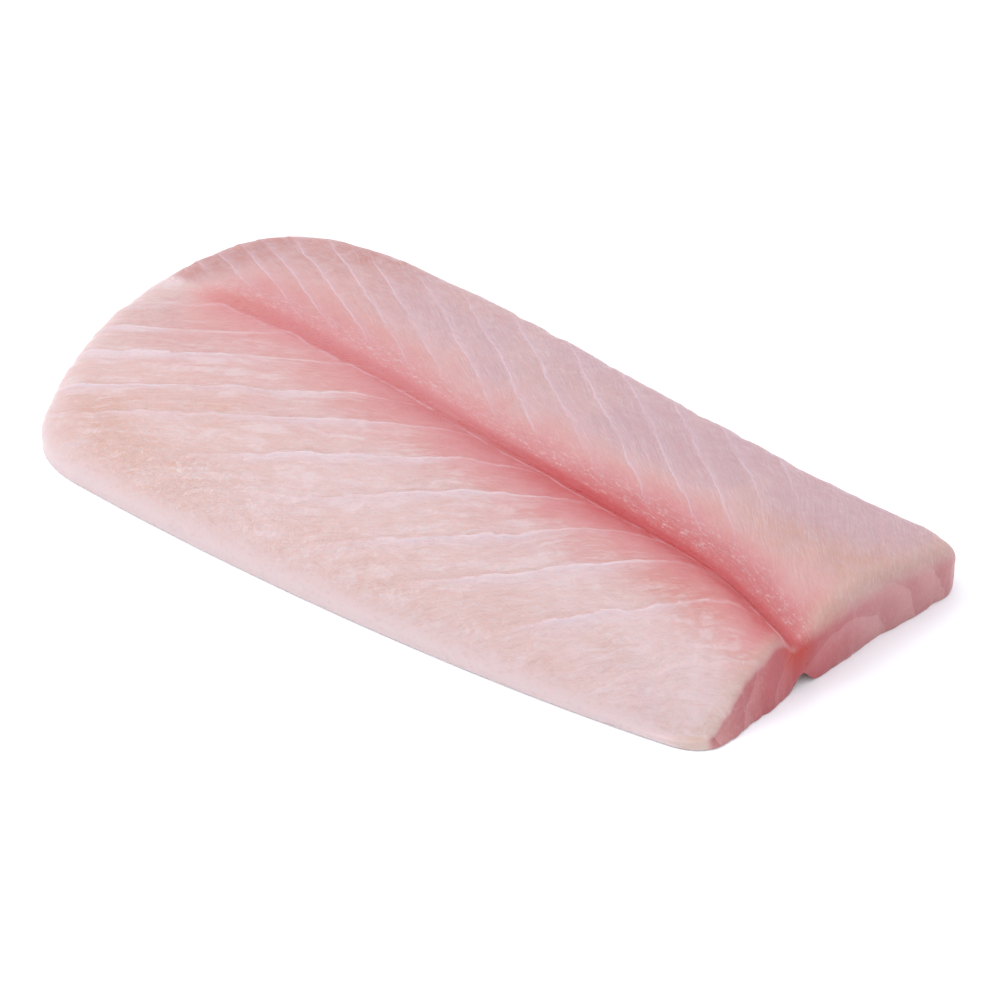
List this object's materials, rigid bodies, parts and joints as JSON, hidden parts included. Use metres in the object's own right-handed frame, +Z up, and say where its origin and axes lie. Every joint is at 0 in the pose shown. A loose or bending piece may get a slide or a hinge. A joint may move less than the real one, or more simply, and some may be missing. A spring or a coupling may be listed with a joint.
{
  "type": "mahi-mahi fillet",
  "caption": "Raw skinless fish fillet with two lobes beside a groove, a round head end and a square tail cut; it lies flat.",
  "frame": {"origin": "on the floor under the middle of the fillet's box", "axes": "+X from the round head end to the tail cut, +Y from the thin belly edge to the back edge, +Z up"},
  "size_m": [0.3014, 0.1578, 0.0236],
  "materials": {
    "flesh": "moist pale pink raw flesh with a soft wet gloss, redder along the groove"
  },
  "bodies": {
    "root": {"fillet": "flesh"}
  },
  "joints": []
}
